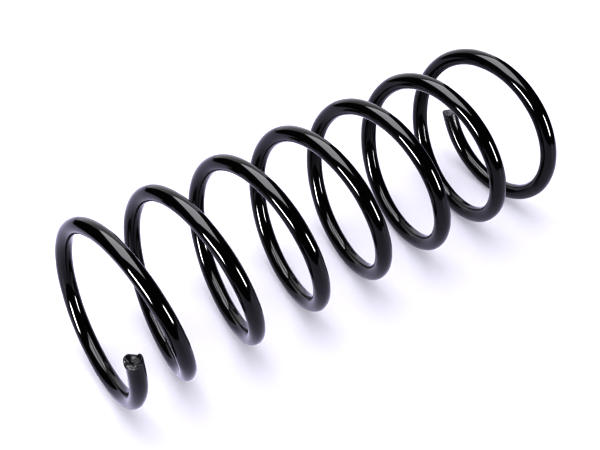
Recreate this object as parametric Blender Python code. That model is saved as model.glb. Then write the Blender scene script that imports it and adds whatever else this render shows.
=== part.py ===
"""Open-coiled helical compression spring for a vehicle's suspension, lying on its side.

The whole spring is one round steel bar, coiled right-handed around the X axis and cut square at
both tips. Its working coils keep one pitch. Towards each tip the pitch falls smoothly, so that the
last part of a turn lies nearly square to the axis and can seat in a spring cup.

Angles are in degrees around the axis, from +Y towards +Z, so that -90 is the line that the spring
lies on. The bar starts at the near tip, at the -X end, and its place is given by the angle that it
has turned through since then.
"""

import math

import bmesh
import bpy

# Driving dimensions, in metres, turns and degrees
BAR_DIAMETER = 0.0130
MEAN_COIL_DIAMETER = 0.1304
WORKING_PITCH = 0.0580  # advance along the axis for each turn, between the two ends
TOTAL_TURNS = 7.475
NEAR_TIP_ANGLE = 163.5  # where the near tip is, around the axis
NEAR_TIP_PITCH = -0.0145  # the near end is pressed in a little past square
NEAR_SEAT_ANGLE = 0.0  # length of bar, from the near tip, that keeps the tip's pitch
NEAR_BLEND_ANGLE = 249.0  # length of bar over which the pitch then grows to the working pitch
FAR_TIP_PITCH = 0.0060
FAR_SEAT_ANGLE = 67.0
FAR_BLEND_ANGLE = 191.0
TIP_CHAMFER = 0.0009  # the broken edge around each cut face

# Fineness of the faceted solid. A facet's middle is on the line that the spring lies on
STEPS_PER_TURN = 40
BAR_SIDES = 12

# Finish: gloss black paint over steel
PAINT_COLOUR = (0.008, 0.008, 0.010, 1.0)
PAINT_ROUGHNESS = 0.16

BAR_RADIUS = BAR_DIAMETER / 2
COIL_RADIUS = MEAN_COIL_DIAMETER / 2
TOTAL_ANGLE = TOTAL_TURNS * 360


def clear_scene():
    """Remove every object that the scene starts with."""
    for item in list(bpy.data.objects):
        bpy.data.objects.remove(item, do_unlink=True)


def share_of_tip_pitch(from_tip, seat, blend):
    """How much of the tip's pitch is left this far from the tip: 1 at the tip, 0 past the blend."""
    u = min(max((from_tip - seat) / blend, 0.0), 1.0)
    return 1 - u * u * (3 - 2 * u)


def summed_tip_share(from_tip, seat, blend):
    """The integral of share_of_tip_pitch from the tip to this angle, in degrees."""
    u = min(max((from_tip - seat) / blend, 0.0), 1.0)
    return min(from_tip, seat) + blend * (u - u**3 + u**4 / 2)


def advance(turned):
    """Distance along the axis from the near tip, at this turned angle."""
    near = summed_tip_share(turned, NEAR_SEAT_ANGLE, NEAR_BLEND_ANGLE)
    far_whole = summed_tip_share(TOTAL_ANGLE, FAR_SEAT_ANGLE, FAR_BLEND_ANGLE)
    far_left = summed_tip_share(TOTAL_ANGLE - turned, FAR_SEAT_ANGLE, FAR_BLEND_ANGLE)
    lost_near = (WORKING_PITCH - NEAR_TIP_PITCH) * near
    lost_far = (WORKING_PITCH - FAR_TIP_PITCH) * (far_whole - far_left)
    return (WORKING_PITCH * turned - lost_near - lost_far) / 360


def pitch_at(turned):
    """Pitch of the bar at this turned angle, in metres for each turn."""
    near = share_of_tip_pitch(turned, NEAR_SEAT_ANGLE, NEAR_BLEND_ANGLE)
    far = share_of_tip_pitch(TOTAL_ANGLE - turned, FAR_SEAT_ANGLE, FAR_BLEND_ANGLE)
    lost_near = (WORKING_PITCH - NEAR_TIP_PITCH) * near
    lost_far = (WORKING_PITCH - FAR_TIP_PITCH) * far
    return WORKING_PITCH - lost_near - lost_far


def section_ring(turned, section_radius):
    """Corners of the bar's section at this turned angle, with one side facing straight out."""
    angle = math.radians(NEAR_TIP_ANGLE + turned)
    outward = (0.0, math.cos(angle), math.sin(angle))
    rise = pitch_at(turned) / (2 * math.pi)
    along = math.hypot(rise, COIL_RADIUS)
    sideways = (
        COIL_RADIUS / along,
        rise * math.sin(angle) / along,
        -rise * math.cos(angle) / along,
    )
    centre = (advance(turned), COIL_RADIUS * outward[1], COIL_RADIUS * outward[2])
    ring = []
    for side in range(BAR_SIDES):
        around = 2 * math.pi * (side + 0.5) / BAR_SIDES
        out = section_radius * math.cos(around)
        across = section_radius * math.sin(around)
        ring.append([centre[i] + out * outward[i] + across * sideways[i] for i in range(3)])
    return ring


def turned_angles():
    """Turned angles of the sections between the two chamfers, evenly stepped from the floor line."""
    step = 360 / STEPS_PER_TURN
    first = (-90 + step / 2 - NEAR_TIP_ANGLE) % step
    tip_margin = math.degrees(TIP_CHAMFER / COIL_RADIUS) + step / 4
    angles = []
    turned = first
    while turned < TOTAL_ANGLE - tip_margin:
        if turned > tip_margin:
            angles.append(turned)
        turned += step
    return angles


def bar_sections():
    """Every section of the bar from tip to tip, as a turned angle and a section radius."""
    polygon_area = BAR_SIDES / 2 * math.sin(2 * math.pi / BAR_SIDES)
    full = BAR_RADIUS * math.sqrt(math.pi / polygon_area)  # the same area as the round bar
    face = full - TIP_CHAMFER
    chamfer_angle = math.degrees(TIP_CHAMFER / COIL_RADIUS)
    near = [(0.0, face), (chamfer_angle, full)]
    far = [(TOTAL_ANGLE - chamfer_angle, full), (TOTAL_ANGLE, face)]
    return near + [(turned, full) for turned in turned_angles()] + far


def spring_mesh():
    """The bar as one closed solid: rings of corners, skinned, with a flat face at each tip."""
    solid = bmesh.new()
    rings = []
    for turned, radius in bar_sections():
        rings.append([solid.verts.new(corner) for corner in section_ring(turned, radius)])
    for ring, after in zip(rings, rings[1:]):
        for side in range(BAR_SIDES):
            beside = (side + 1) % BAR_SIDES
            solid.faces.new((ring[side], after[side], after[beside], ring[beside]))
    solid.faces.new(rings[0])
    solid.faces.new(reversed(rings[-1]))
    bmesh.ops.recalc_face_normals(solid, faces=solid.faces)
    mesh = bpy.data.meshes.new("spring")
    solid.to_mesh(mesh)
    solid.free()
    mesh.shade_smooth()
    mesh.set_sharp_from_angle(angle=math.radians(40))
    return mesh


def paint_material():
    """Gloss black paint."""
    material = bpy.data.materials.new("gloss_black_paint")
    material.use_nodes = True
    shader = material.node_tree.nodes["Principled BSDF"]
    shader.inputs["Base Color"].default_value = PAINT_COLOUR
    shader.inputs["Roughness"].default_value = PAINT_ROUGHNESS
    shader.inputs["Metallic"].default_value = 0.0
    return material


def main():
    """Model the spring and lay it on the ground plane, centred over the origin."""
    clear_scene()
    mesh = spring_mesh()
    mesh.materials.append(paint_material())
    spring = bpy.data.objects.new("spring", mesh)
    bpy.context.scene.collection.objects.link(spring)
    along = [vertex.co.x for vertex in mesh.vertices]
    lowest = min(vertex.co.z for vertex in mesh.vertices)
    spring.location = (-(min(along) + max(along)) / 2, 0.0, -lowest)


main()
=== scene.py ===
"""A vehicle's coil spring in gloss black paint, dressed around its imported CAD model.

Laid out as a Blender add-on and run as a script. One operator coils the painted bar, which stands
for the faceted CAD bar and lies exactly along it, and one sets up the pale stage, its lights and the
camera. Lengths are in metres. Angles around the spring's axis run from +Y towards +Z.
"""

import math
from typing import NamedTuple

import bpy
import numpy as np
from bpy.props import FloatProperty, FloatVectorProperty, IntProperty, PointerProperty, StringProperty
from bpy.types import Operator, Panel, PropertyGroup
from mathutils import Matrix, Vector


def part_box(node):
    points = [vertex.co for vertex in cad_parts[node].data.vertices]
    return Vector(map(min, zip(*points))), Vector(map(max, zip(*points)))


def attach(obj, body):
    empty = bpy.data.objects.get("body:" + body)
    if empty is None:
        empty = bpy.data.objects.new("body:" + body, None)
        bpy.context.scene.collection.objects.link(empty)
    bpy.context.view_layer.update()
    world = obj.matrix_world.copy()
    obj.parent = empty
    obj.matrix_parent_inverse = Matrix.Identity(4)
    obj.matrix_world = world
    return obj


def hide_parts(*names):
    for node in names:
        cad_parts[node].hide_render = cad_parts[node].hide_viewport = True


bl_info = {
    "name": "Gloss black coil spring",
    "version": (1, 0, 0),
    "blender": (4, 5, 0),
    "location": "3D View > Sidebar > Spring",
    "description": "Coils the painted bar of a suspension spring and sets up the stage it lies on",
    "category": "Add Mesh",
}

IMAGE_WIDTH = 600  # pixels, the photograph's own
SENSOR_WIDTH = 36.0  # mm
FLOOR_REACH = 4.0  # half the floor's width
CARD_HEIGHT = 0.0004  # just clear of the floor

# Corners of the card that the paint mirrors, set where the white sheet ends in its reflections
CARD_CORNERS = ((-0.44, -0.12), (0.50, -0.95), (0.50, 0.45), (1.20, 0.60), (1.20, 2.00), (-0.44, 2.00))

# Rings of points on each cut, over its rim and along the bar's deformed end
CUT_RINGS = 18
RIM_RINGS = 7
TIP_RINGS = 27

# Length of bar for each radian of the three waves of its slight unevenness
SHORT_WAVE = 0.0041
MIDDLE_WAVE = 0.0068
LONG_WAVE = 0.0113

# Nearly all values of a noise texture lie between these two
NOISE_LOW = 0.35
NOISE_HIGH = 0.65

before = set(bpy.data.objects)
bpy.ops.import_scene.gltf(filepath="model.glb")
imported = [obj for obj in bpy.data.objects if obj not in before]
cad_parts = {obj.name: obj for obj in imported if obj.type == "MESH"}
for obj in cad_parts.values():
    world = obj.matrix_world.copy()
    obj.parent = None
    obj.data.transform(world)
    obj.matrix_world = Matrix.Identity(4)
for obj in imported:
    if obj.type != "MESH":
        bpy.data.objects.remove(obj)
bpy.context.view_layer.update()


class CoiledBarSizes(PropertyGroup):
    """Sizes of the bar and of the coil that it is wound into, as in the CAD model."""

    bar_diameter: FloatProperty(
        name="Bar diameter", description="Diameter of the round steel bar", default=0.0130, unit="LENGTH"
    )
    coil_diameter: FloatProperty(
        name="Mean coil diameter",
        description="Diameter of the circle that the bar's middle follows",
        default=0.1304,
        unit="LENGTH",
    )
    working_pitch: FloatProperty(
        name="Working pitch",
        description="Advance for each turn, between the two ends",
        default=0.0580,
        unit="LENGTH",
    )
    turns: FloatProperty(name="Turns", description="Turns of bar from tip to tip", default=7.475)
    near_tip_angle: FloatProperty(
        name="Near tip angle",
        description="Where the near tip is, around the axis",
        default=math.radians(163.5),
        unit="ROTATION",
    )
    near_tip_pitch: FloatProperty(
        name="Near tip pitch",
        description="Pitch at the near tip, which is pressed in a little past square",
        default=-0.0145,
        unit="LENGTH",
    )
    near_seat: FloatProperty(
        name="Near seat",
        description="Length of bar that keeps the near tip's pitch",
        default=0.0,
        unit="ROTATION",
    )
    near_blend: FloatProperty(
        name="Near blend",
        description="Length of bar over which the near end's pitch grows to the working pitch",
        default=math.radians(249),
        unit="ROTATION",
    )
    far_tip_pitch: FloatProperty(
        name="Far tip pitch", description="Pitch at the far tip", default=0.0060, unit="LENGTH"
    )
    far_seat: FloatProperty(
        name="Far seat",
        description="Length of bar that keeps the far tip's pitch",
        default=math.radians(67),
        unit="ROTATION",
    )
    far_blend: FloatProperty(
        name="Far blend",
        description="Length of bar over which the far end's pitch grows to the working pitch",
        default=math.radians(191),
        unit="ROTATION",
    )
    rim_radius: FloatProperty(
        name="Rim radius",
        description="Rounding of the edge around each cut face",
        default=0.0009,
        unit="LENGTH",
    )
    near_lean: FloatProperty(
        name="Near shear",
        description="Side that the near cut's blade leaves by, from outward to sideways",
        default=math.radians(45),
        unit="ROTATION",
    )
    far_lean: FloatProperty(
        name="Far shear",
        description="Side that the far cut's blade leaves by, from outward to sideways",
        default=math.radians(135),
        unit="ROTATION",
    )
    tip_reach: FloatProperty(
        name="Tip reach",
        description="Length of bar that the shear has deformed",
        default=0.012,
        unit="LENGTH",
    )
    near_coarseness: FloatProperty(
        name="Near tear", description="Height of the near cut's relief, against a coarse one", default=1.0
    )
    far_coarseness: FloatProperty(
        name="Far tear", description="Height of the far cut's relief, against a coarse one", default=0.5
    )
    near_flare: FloatProperty(
        name="Near flare",
        description="How far the near tip is spread on the side of its lip's corner",
        default=0.0005,
        unit="LENGTH",
    )
    far_flare: FloatProperty(
        name="Far flare",
        description="How far the far tip is spread, which isn't at all in the photograph",
        default=0.0,
        unit="LENGTH",
    )
    flare_reach: FloatProperty(
        name="Flare reach", description="Length of bar that is spread", default=0.0045, unit="LENGTH"
    )
    bar_waviness: FloatProperty(
        name="Bar waviness",
        description="Height of the slow unevenness that rolling and coiling leave on the bar",
        default=0.000035,
        unit="LENGTH",
    )
    steps_per_turn: IntProperty(name="Steps per turn", description="Rings for each turn", default=170)
    sides: IntProperty(name="Sides", description="Points around the bar", default=64)


class PaintLook(PropertyGroup):
    """Colours and texture sizes of the paint."""

    black: StringProperty(name="Black", description="Colour of the paint", default="#040405")
    worn_black: StringProperty(
        name="Dull black", description="Colour of the thin paint on the cut ends", default="#1A1A1C"
    )
    roughness: FloatProperty(name="Roughness", description="Roughness of the gloss paint", default=0.085)
    cut_roughness: FloatProperty(
        name="Cut roughness", description="Roughness of the paint on the cut ends", default=0.22
    )
    near_dull: FloatProperty(
        name="Near dull length",
        description="Length of bar at the near tip that has duller paint",
        default=0.004,
        unit="LENGTH",
    )
    far_dull: FloatProperty(
        name="Far dull length",
        description="Length of bar at the far tip that has duller paint",
        default=0.018,
        unit="LENGTH",
    )
    gloss_spread: FloatVectorProperty(
        name="Gloss spread",
        description="Least and most roughness along the bar, as shares of the roughness",
        size=2,
        default=(0.8, 1.3),
    )
    cloud_size: FloatProperty(
        name="Gloss change length",
        description="Length of bar over which the gloss changes slowly",
        default=0.045,
        unit="LENGTH",
    )
    peel_size: FloatProperty(
        name="Orange peel size",
        description="Width of one dimple of the paint's orange peel",
        default=0.0016,
        unit="LENGTH",
    )
    peel_depth: FloatProperty(
        name="Orange peel depth", description="Depth of one dimple", default=0.00002, unit="LENGTH"
    )
    crumb_size: FloatProperty(
        name="Lump size",
        description="Width of one lump of the paint on the cut ends",
        default=0.0011,
        unit="LENGTH",
    )
    crumb_height: FloatProperty(
        name="Lump height", description="Height of one such lump", default=0.0003, unit="LENGTH"
    )


class StageLook(PropertyGroup):
    """Floor, light and camera."""

    floor_grey: StringProperty(
        name="Floor",
        description="Colour of the floor, which the boxes light up to white",
        default="#545457",
    )
    far_floor: StringProperty(
        name="Far floor",
        description="Colour of the floor where the boxes' light has faded",
        default="#9A999C",
    )
    fade_start: FloatProperty(
        name="Fade start",
        description="Distance from the spring's middle where the floor's colour starts to change",
        default=0.6,
        unit="LENGTH",
    )
    fade_end: FloatProperty(
        name="Fade end",
        description="Distance from the spring's middle where the floor has the far colour",
        default=1.4,
        unit="LENGTH",
    )
    card_grey: StringProperty(
        name="Mirrored card", description="Colour of the card as the paint mirrors it", default="#868490"
    )
    # Painted glow: the floor emits light of its own to pale its shadows, and no lamp shines on it from
    # below
    glow_white: StringProperty(
        name="Glow", description="Colour of the light from below", default="#F8F6FF"
    )
    glow_strength: FloatProperty(
        name="Glow light", description="Radiance of the light from below", default=0.44
    )
    box_white: StringProperty(name="Soft boxes", description="Colour of their light", default="#FDFCFF")
    room_white: StringProperty(name="Room", description="Colour of the room's light", default="#FFFFFF")
    room_strength: FloatProperty(name="Room light", description="Radiance of the room", default=4.0)
    contrast: FloatProperty(
        name="Display gamma",
        description="Gamma of the picture, under 1 for a contrasty one",
        default=0.535,
    )
    camera_place: FloatVectorProperty(
        name="Camera place",
        description="Where the camera is",
        default=(-0.3322, -0.4571, 0.6263),
        unit="LENGTH",
    )
    camera_heading: FloatProperty(
        name="Camera heading",
        description="Direction of view from +Y towards +X",
        default=math.radians(34.55),
        unit="ROTATION",
    )
    camera_dip: FloatProperty(
        name="Camera dip",
        description="Angle of view below the horizon",
        default=math.radians(46.58),
        unit="ROTATION",
    )
    focal_pixels: FloatProperty(
        name="Focal length", description="Focal length in pixels of the photograph", default=1006.0
    )
    shift_right: FloatProperty(
        name="Shift right", description="Camera shift, as a share of the width", default=0.0065
    )
    shift_up: FloatProperty(
        name="Shift up", description="Camera shift, as a share of the width", default=0.037
    )


def linear(hex_colour):
    """An sRGB hex colour as linear red, green, blue and alpha 1."""
    values = [int(hex_colour[i : i + 2], 16) / 255 for i in (1, 3, 5)]
    return [v / 12.92 if v <= 0.04045 else ((v + 0.055) / 1.055) ** 2.4 for v in values] + [1.0]


def add_node(tree, kind, settings=None, inputs=None):
    """Add a node, with its settings by name and its inputs as values or as sockets to link from."""
    node = tree.nodes.new(kind)
    for name, value in (settings or {}).items():
        setattr(node, name, value)
    for name, value in (inputs or {}).items():
        if isinstance(value, bpy.types.NodeSocket):
            tree.links.new(value, node.inputs[name])
        else:
            node.inputs[name].default_value = value
    return node


def share_of_tip_pitch(from_tip, seat, blend):
    """How much of a tip's pitch is left at this distance from it: 1 at the tip, 0 past the blend."""
    u = np.clip((from_tip - seat) / blend, 0, 1)
    return 1 - u * u * (3 - 2 * u)


def summed_tip_share(from_tip, seat, blend):
    """The integral of share_of_tip_pitch from the tip outwards."""
    u = np.clip((from_tip - seat) / blend, 0, 1)
    return np.minimum(from_tip, seat) + blend * (u - u**3 + u**4 / 2)


def bar_frames(sizes, turned):
    """Centre, outward, sideways and forward directions of the bar at each turned angle.

    The bar's middle goes round a circle about X while it advances along X. The advance is the
    integral of the pitch, which is the working pitch less what the two ends take from it.
    """
    whole = 2 * math.pi * sizes.turns
    near_loss = sizes.working_pitch - sizes.near_tip_pitch
    far_loss = sizes.working_pitch - sizes.far_tip_pitch
    near = summed_tip_share(turned, sizes.near_seat, sizes.near_blend)
    far = summed_tip_share(whole, sizes.far_seat, sizes.far_blend) - summed_tip_share(
        whole - turned, sizes.far_seat, sizes.far_blend
    )
    along = (sizes.working_pitch * turned - near_loss * near - far_loss * far) / (2 * math.pi)
    rise = (
        sizes.working_pitch
        - near_loss * share_of_tip_pitch(turned, sizes.near_seat, sizes.near_blend)
        - far_loss * share_of_tip_pitch(whole - turned, sizes.far_seat, sizes.far_blend)
    ) / (2 * math.pi)
    angle = sizes.near_tip_angle + turned
    radius = sizes.coil_diameter / 2
    outward = np.stack([0 * angle, np.cos(angle), np.sin(angle)], axis=1)
    forward = np.stack([rise, -radius * np.sin(angle), radius * np.cos(angle)], axis=1)
    forward /= np.linalg.norm(forward, axis=1)[:, None]
    sideways = np.cross(forward, outward)
    centre = radius * outward
    centre[:, 0] = along
    return centre, outward, sideways, forward


def bump(distance, width):
    """A smooth bump of height 1: the bell curve of the distance over the width."""
    return np.exp(-((distance / width) ** 2))


def step(value, start, length):
    """A smooth rise from 0 to 1 over this length from the start."""
    u = np.clip((value - start) / length, 0, 1)
    return u * u * (3 - 2 * u)


def torn_cut(across, onward):
    """Height of a coarsely sheared tip over its flat cut, all in bar radii.

    The blade leaves towards onward. The far side of the section keeps a steep lip with a corner, a
    dip and a tooth, which drops away at the other end of across. Inside it is a floor that slopes
    down onward, with a lump of paint beside a pit, and with a notch in its edge.
    """
    corner = 0.34 * bump(across + 0.95, 0.35)
    tooth = 0.22 * bump(across - 0.54, 0.38)
    dip = 0.10 * bump(across, 0.25)
    lip = corner + tooth - dip - 0.03 - 0.25 * step(across, 0.70, 0.30)
    lump = 0.24 * bump(np.hypot(across + 0.55, onward - 0.25), 0.28)
    pit = 0.24 * bump(np.hypot(across + 0.16, onward - 0.28), 0.15)
    notch = 0.22 * step(onward, 0.42, 0.16) * bump(across - 0.30, 0.55)
    floor = -0.24 - 0.12 * onward + lump - pit - notch
    wall = step(np.hypot(across - 0.14, onward), 0.46, 0.35) * (1 - step(onward, 0.10, 0.45))
    return floor + wall * (lip - floor)


class Tip(NamedTuple):
    """One sheared tip of the bar."""

    distance: np.ndarray  # of each ring from this tip, along the bar
    direction: int  # 1 where the cut faces the way that the bar runs, -1 at the other tip
    lean: float  # side that the blade leaves by, from outward to sideways
    coarse: float  # height of its relief, against a coarse one
    flare: float  # how far it is spread on one side

    def aside(self):
        """Direction to the right, as seen from outside the tip with the blade's way down."""
        return self.lean + self.direction * math.pi / 2


def ring_places(sizes, whole):
    """Radius and turned angle of each ring of points, from the middle of one cut to the other.

    The rings cross the flat of the cut, go over its rim as a quarter circle, and then along the bar,
    closer together near the tips.
    """
    coil_radius = sizes.coil_diameter / 2
    bar_radius = sizes.bar_diameter / 2
    rim = sizes.rim_radius
    rim_turn = np.linspace(0, math.pi / 2, RIM_RINGS)
    flat = np.linspace(0, bar_radius - rim, CUT_RINGS + 2)[1:-1]
    cap_radius = np.concatenate([flat, bar_radius - rim + rim * np.sin(rim_turn)])
    cap_depth = np.concatenate([0 * flat, rim * (1 - np.cos(rim_turn))]) / coil_radius
    tip_zone = sizes.tip_reach / coil_radius
    near_rings = np.linspace(cap_depth[-1], tip_zone, TIP_RINGS + 1)[1:]
    middle_count = int(sizes.steps_per_turn * sizes.turns)
    middle_rings = np.linspace(tip_zone, whole - tip_zone, middle_count)[1:-1]
    turned = np.concatenate([near_rings, middle_rings, (whole - near_rings)[::-1]])
    radius = np.concatenate([cap_radius, np.full(len(turned), bar_radius), cap_radius[::-1]])
    return radius, np.concatenate([cap_depth, turned, (whole - cap_depth)[::-1]])


def slow_waves(length, around):
    """Unevenness of the bar's skin, between -2.4 and 2.4, from the length along it and around it.

    It is the sum of three sine waves. Each is the sine of the length over its own constant, shifted
    by the angle around the bar, so that the waves wind round it.
    """
    middle_wave = np.sin(length / MIDDLE_WAVE + 2 * np.sin(around))
    long_wave = 0.8 * np.sin(length / LONG_WAVE + 1.3 + 3 * around)
    short_wave = 0.6 * np.sin(length / SHORT_WAVE + 0.7 + around)
    return middle_wave + long_wave + short_wave


def coiled_bar_mesh(sizes):
    """The whole bar as one closed skin: rings of points, two poles, and the distances to the tips.

    A point on the bar is its middle, plus the bar's radius times the outward direction turned by
    the angle around the bar. The radius is the ring's own, plus the slow waves and each tip's flare,
    which is widest on one side of the bar. Near a tip each point also moves along the bar by the
    height of torn_cut there, fading to nothing over the tip's reach.
    """
    whole = 2 * math.pi * sizes.turns
    bar_radius = sizes.bar_diameter / 2
    ring_radius, turned = ring_places(sizes, whole)
    centre, outward, sideways, forward = bar_frames(sizes, turned)
    around = np.arange(sizes.sides) * 2 * math.pi / sizes.sides
    length = turned[:, None] * sizes.coil_diameter / 2
    near = Tip(length, -1, sizes.near_lean, sizes.near_coarseness, sizes.near_flare)
    far = Tip(length[-1] - length, 1, sizes.far_lean, sizes.far_coarseness, sizes.far_flare)

    share = ring_radius[:, None] / bar_radius
    radius = ring_radius[:, None] + sizes.bar_waviness * slow_waves(length, around) * share**2
    for tip in (near, far):
        widest = (1 - np.cos(around - tip.aside())) / 2
        radius += tip.flare * widest * share**4 * bump(tip.distance, sizes.flare_reach)
    out = radius * np.cos(around)
    side = radius * np.sin(around)
    points = centre[:, None] + out[..., None] * outward[:, None] + side[..., None] * sideways[:, None]

    for tip in (near, far):
        across = (out * math.cos(tip.aside()) + side * math.sin(tip.aside())) / bar_radius
        onward = (out * math.cos(tip.lean) + side * math.sin(tip.lean)) / bar_radius
        height = bar_radius * tip.coarse * torn_cut(across, onward)
        height *= np.clip(1 - tip.distance / sizes.tip_reach, 0, 1) ** 2
        points += tip.direction * height[..., None] * forward[:, None]
    poles = np.stack([points[0].mean(axis=0), points[-1].mean(axis=0)])
    return points, poles, near.distance[:, 0], far.distance[:, 0]


def skin_faces(rows, sides):
    """Quads between neighbouring rings, and a fan from each pole, with all faces pointing outwards."""
    ring = np.arange(sides)
    beside = (ring + 1) % sides
    start = (np.arange(rows - 1) * sides)[:, None]
    after = start + sides
    quads = np.stack([start + ring, start + beside, after + beside, after + ring], axis=-1)
    near_pole = rows * sides
    last = (rows - 1) * sides
    near_fan = np.stack([np.full(sides, near_pole), beside, ring], axis=-1)
    far_fan = np.stack([np.full(sides, near_pole + 1), last + ring, last + beside], axis=-1)
    return quads.reshape(-1, 4).tolist() + near_fan.tolist() + far_fan.tolist()


def gloss_black_paint(look):
    """Electrophoretic black paint under a gloss top coat, dipped and baked.

    Gives the eye an even near-black with a mirror-like skin, very slight orange peel, and a duller
    and lumpier skin on the sheared tips, where the paint gathers and thins.
    """
    material = bpy.data.materials.new("gloss_black_paint")
    material.use_nodes = True
    tree = material.node_tree
    tree.nodes.clear()
    place = add_node(tree, "ShaderNodeTexCoord").outputs["Object"]
    tip = add_node(tree, "ShaderNodeAttribute", {"attribute_name": "tip_wear"}).outputs["Fac"]
    peel = add_node(
        tree,
        "ShaderNodeTexNoise",
        inputs={"Vector": place, "Scale": 1 / look.peel_size, "Detail": 1.0, "Roughness": 0.4},
    )
    crumbs = add_node(
        tree,
        "ShaderNodeTexNoise",
        inputs={"Vector": place, "Scale": 1 / look.crumb_size, "Detail": 4.0, "Roughness": 0.65},
    )
    cloud = add_node(
        tree,
        "ShaderNodeTexNoise",
        inputs={"Vector": place, "Scale": 1 / look.cloud_size, "Detail": 2.0, "Roughness": 0.5},
    )
    wear = add_node(
        tree,
        "ShaderNodeMath",
        {"operation": "MULTIPLY", "use_clamp": True},
        {0: tip, 1: crumbs.outputs["Fac"]},
    )
    colour = add_node(
        tree,
        "ShaderNodeMix",
        {"data_type": "RGBA"},
        {0: wear.outputs[0], 6: linear(look.black), 7: linear(look.worn_black)},
    )
    cloud_roughness = add_node(
        tree,
        "ShaderNodeMapRange",
        inputs={
            "Value": cloud.outputs["Fac"],
            "From Min": NOISE_LOW,
            "From Max": NOISE_HIGH,
            "To Min": look.roughness * look.gloss_spread[0],
            "To Max": look.roughness * look.gloss_spread[1],
        },
    )
    roughness = add_node(
        tree,
        "ShaderNodeMix",
        {"data_type": "FLOAT"},
        {0: tip, 2: cloud_roughness.outputs["Result"], 3: look.cut_roughness},
    )
    peel_bump = add_node(
        tree,
        "ShaderNodeBump",
        inputs={"Height": peel.outputs["Fac"], "Strength": 0.25, "Distance": look.peel_depth},
    )
    crumb_height = add_node(
        tree,
        "ShaderNodeMath",
        {"operation": "MULTIPLY"},
        {0: crumbs.outputs["Fac"], 1: tip},
    )
    crumb_bump = add_node(
        tree,
        "ShaderNodeBump",
        inputs={
            "Height": crumb_height.outputs[0],
            "Strength": 0.7,
            "Distance": look.crumb_height,
            "Normal": peel_bump.outputs["Normal"],
        },
    )
    shader = add_node(
        tree,
        "ShaderNodeBsdfPrincipled",
        inputs={
            "Base Color": colour.outputs[2],
            "Roughness": roughness.outputs[0],
            "IOR": 1.5,
            "Metallic": 0.0,
            "Normal": crumb_bump.outputs["Normal"],
        },
    )
    add_node(tree, "ShaderNodeOutputMaterial", inputs={"Surface": shader.outputs["BSDF"]})
    return material


def matt_card(look, near, far, glow_strength):
    """Matt card: an even tone that mirrors almost nothing of what stands on it.

    Its colour goes from near to far with the distance from the spring's middle, so that the floor
    stays as pale where the soft boxes' light has faded. It also glows a little all over with a
    painted glow of its own, which keeps the shadows on it pale and soft.
    """
    material = bpy.data.materials.new("matt_card")
    material.use_nodes = True
    tree = material.node_tree
    shader = tree.nodes["Principled BSDF"]
    place = add_node(tree, "ShaderNodeTexCoord").outputs["Object"]
    distance = add_node(tree, "ShaderNodeVectorMath", {"operation": "LENGTH"}, {0: place})
    share = add_node(
        tree,
        "ShaderNodeMapRange",
        {"interpolation_type": "SMOOTHSTEP"},
        {"Value": distance.outputs["Value"], "From Min": look.fade_start, "From Max": look.fade_end},
    )
    colour = add_node(
        tree,
        "ShaderNodeMix",
        {"data_type": "RGBA"},
        {0: share.outputs["Result"], 6: linear(near), 7: linear(far)},
    )
    tree.links.new(colour.outputs[2], shader.inputs["Base Color"])
    shader.inputs["Roughness"].default_value = 0.55
    shader.inputs["IOR"].default_value = 1.35
    # Painted glow: the card shines by itself, with no lamp behind it, which pales the shadows on it
    shader.inputs["Emission Color"].default_value = linear(look.glow_white)
    shader.inputs["Emission Strength"].default_value = glow_strength
    return material


def lay_sheet(name, corners, height, material):
    """A flat sheet at this height, from its corners as seen from above, belonging to the stage."""
    mesh = bpy.data.meshes.new(name)
    mesh.from_pydata([(x, y, height) for x, y in corners], [], [tuple(range(len(corners)))])
    mesh.materials.append(material)
    sheet = bpy.data.objects.new(name, mesh)
    bpy.context.scene.collection.objects.link(sheet)
    return sheet


def hang_panel(name, place, aim, roll, size, radiance, colour):
    """A soft box at this place that faces the aim, rolled about its own axis.

    Blender's area light spreads its power evenly, so the power is radiance times area times pi.
    """
    light = bpy.data.lights.new(name, "AREA")
    light.shape = "RECTANGLE"
    light.size, light.size_y = size
    light.color = linear(colour)[:3]
    light.energy = radiance * math.pi * light.size * light.size_y
    panel = bpy.data.objects.new(name, light)
    panel.location = place
    towards = Vector(aim) - Vector(place)
    panel.rotation_euler = towards.to_track_quat("-Z", "Y").to_euler()
    panel.rotation_euler.rotate_axis("Z", math.radians(-roll))
    bpy.context.scene.collection.objects.link(panel)
    return panel


def around_spring(heading, distance, height):
    """A place at this heading from +Y towards +X, in degrees, and this far from the middle."""
    angle = math.radians(heading)
    return (distance * math.sin(angle), distance * math.cos(angle), height)


class SPRING_OT_coiled_bar(Operator):
    """Coil the painted bar along the CAD bar and let it stand for it"""

    bl_idname = "spring.coiled_bar"
    bl_label = "Coiled bar"

    def execute(self, context):
        sizes = context.scene.spring_sizes
        points, poles, near_distance, far_distance = coiled_bar_mesh(sizes)
        rows, sides = points.shape[:2]
        corners = np.concatenate([points.reshape(-1, 3), poles])
        low, high = (np.array(corner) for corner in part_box("spring"))
        cad_middle = (low + high) / 2
        own_middle = (corners.min(axis=0) + corners.max(axis=0)) / 2
        # The coil's own axis goes to the CAD box's middle, and the two share their middle along it
        corners[:, 0] += cad_middle[0] - own_middle[0]
        corners[:, 1:] += cad_middle[1:]
        mesh = bpy.data.meshes.new("coiled_bar")
        mesh.from_pydata(corners.tolist(), [], skin_faces(rows, sides))
        look = context.scene.spring_paint
        wear = np.maximum(bump(near_distance, look.near_dull), bump(far_distance, look.far_dull))
        wear = np.concatenate([np.repeat(wear, sides), [1.0, 1.0]])
        attribute = mesh.attributes.new("tip_wear", "FLOAT", "POINT")
        attribute.data.foreach_set("value", wear.astype(np.float32))
        mesh.shade_smooth()
        mesh.materials.append(gloss_black_paint(look))
        bar = bpy.data.objects.new("coiled_bar", mesh)
        context.scene.collection.objects.link(bar)
        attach(bar, "root")
        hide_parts("spring")
        return {"FINISHED"}


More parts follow.
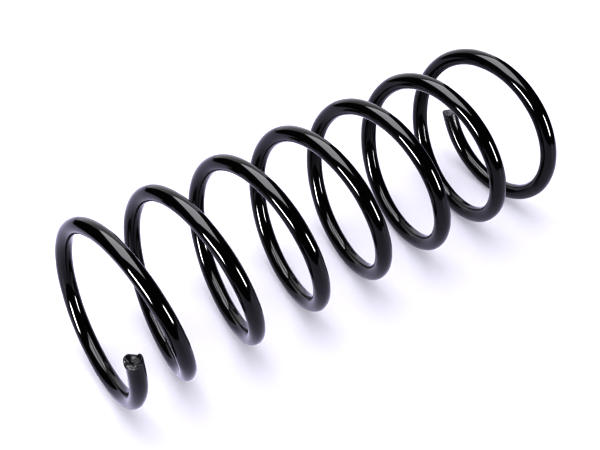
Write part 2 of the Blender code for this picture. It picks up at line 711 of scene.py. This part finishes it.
class SPRING_OT_stage(Operator):
    """Lay the floor and the mirrored card, hang the soft boxes and set the camera"""

    bl_idname = "spring.stage"
    bl_label = "Stage, lights and camera"

    def execute(self, context):
        look = context.scene.spring_stage
        self.lay_floor(look)
        self.hang_lights(look)
        self.set_room(context, look)
        self.set_camera(context, look)
        context.scene.view_settings.view_transform = "Standard"
        context.scene.view_settings.gamma = look.contrast
        return {"FINISHED"}

    def lay_floor(self, look):
        """A wide floor at the spring's lowest points, and the card that the gloss paint mirrors.

        The paint sees white only as far as the card's edges and a dark room past them. The wide
        floor carries on from the card for the eye, and is left out of what is mirrored.
        """
        low, high = -FLOOR_REACH, FLOOR_REACH
        corners = [(low, low), (high, low), (high, high), (low, high)]
        pale_card = matt_card(look, look.floor_grey, look.far_floor, look.glow_strength)
        wide = lay_sheet("floor", corners, 0.0, pale_card)
        wide.visible_glossy = False
        grey_card = matt_card(look, look.card_grey, look.card_grey, 0.0)
        mirrored = lay_sheet("mirrored_card", CARD_CORNERS, CARD_HEIGHT, grey_card)
        mirrored.visible_camera = False
        mirrored.visible_diffuse = False
        mirrored.visible_shadow = False

    def hang_lights(self, look):
        """Soft boxes overhead and low in the west and the south-east, a far wall and a shadow box.

        The paint mirrors all but the last, which only lights the floor and throws the shadows.
        """
        above = (-0.03, 0.25, 0.81)
        below = (-0.03, 0.25, 0.0)
        white = look.box_white
        hang_panel(
            "overhead_box", above, below, roll=28.4, size=(0.895, 0.93), radiance=10.9, colour=white
        )
        for name, heading, distance, height, roll, size, radiance in (
            ("west_box", 257.5, 1.5, 0.383, 16.5, (0.69, 0.361), 57.0),
            ("southeast_box", 155.8, 1.5, 0.537, 3.2, (0.407, 0.681), 38.0),
            ("far_wall", 21.4, 1.6, 0.775, 0.0, (2.2, 1.55), 2.9),
        ):
            place = around_spring(heading, distance, height)
            hang_panel(name, place, (0, 0, height), roll, size, radiance, white)
        high_north = around_spring(heading=-12, distance=0.9, height=1.0)
        middle = (0, 0, 0)
        shadow_box = hang_panel(
            "shadow_box", high_north, middle, roll=0.0, size=(1.0, 1.0), radiance=9.5, colour=white
        )
        shadow_box.visible_glossy = False

    def set_room(self, context, look):
        """A pale room that lights the shadows a little and is left out of what the paint mirrors."""
        world = bpy.data.worlds.new("pale_room")
        world.use_nodes = True
        backdrop = world.node_tree.nodes["Background"]
        backdrop.inputs["Color"].default_value = linear(look.room_white)
        backdrop.inputs["Strength"].default_value = look.room_strength
        world.cycles_visibility.glossy = False
        context.scene.world = world

    def set_camera(self, context, look):
        """The camera, held level, at the photograph's place and angle."""
        camera = bpy.data.cameras.new("camera")
        camera.sensor_width = SENSOR_WIDTH
        camera.lens = look.focal_pixels / IMAGE_WIDTH * SENSOR_WIDTH
        camera.shift_x = look.shift_right
        camera.shift_y = look.shift_up
        view = bpy.data.objects.new("camera", camera)
        turn = Matrix.Rotation(-look.camera_heading, 4, "Z")
        tilt = Matrix.Rotation(math.pi / 2 - look.camera_dip, 4, "X")
        view.matrix_world = Matrix.Translation(look.camera_place) @ turn @ tilt
        context.scene.collection.objects.link(view)
        context.scene.camera = view


class SPRING_PT_panel(Panel):
    """Sizes, paint and stage of the spring"""

    bl_label = "Coil spring"
    bl_idname = "SPRING_PT_panel"
    bl_space_type = "VIEW_3D"
    bl_region_type = "UI"
    bl_category = "Spring"

    def draw(self, context):
        layout = self.layout
        for group in (context.scene.spring_sizes, context.scene.spring_paint, context.scene.spring_stage):
            box = layout.box()
            for name in group.bl_rna.properties.keys():
                if name not in {"rna_type", "name"}:
                    box.prop(group, name)
        layout.operator(SPRING_OT_coiled_bar.bl_idname)
        layout.operator(SPRING_OT_stage.bl_idname)


CLASSES = (CoiledBarSizes, PaintLook, StageLook, SPRING_OT_coiled_bar, SPRING_OT_stage, SPRING_PT_panel)


def register():
    """Register the classes and hang the settings on the scene."""
    for item in CLASSES:
        bpy.utils.register_class(item)
    bpy.types.Scene.spring_sizes = PointerProperty(type=CoiledBarSizes)
    bpy.types.Scene.spring_paint = PointerProperty(type=PaintLook)
    bpy.types.Scene.spring_stage = PointerProperty(type=StageLook)


def unregister():
    """Take the settings off the scene and unregister the classes."""
    del bpy.types.Scene.spring_stage
    del bpy.types.Scene.spring_paint
    del bpy.types.Scene.spring_sizes
    for item in reversed(CLASSES):
        bpy.utils.unregister_class(item)


def main():
    """Build the spring and its stage."""
    register()
    bpy.ops.spring.coiled_bar()
    bpy.ops.spring.stage()


if __name__ == "__main__":
    main()
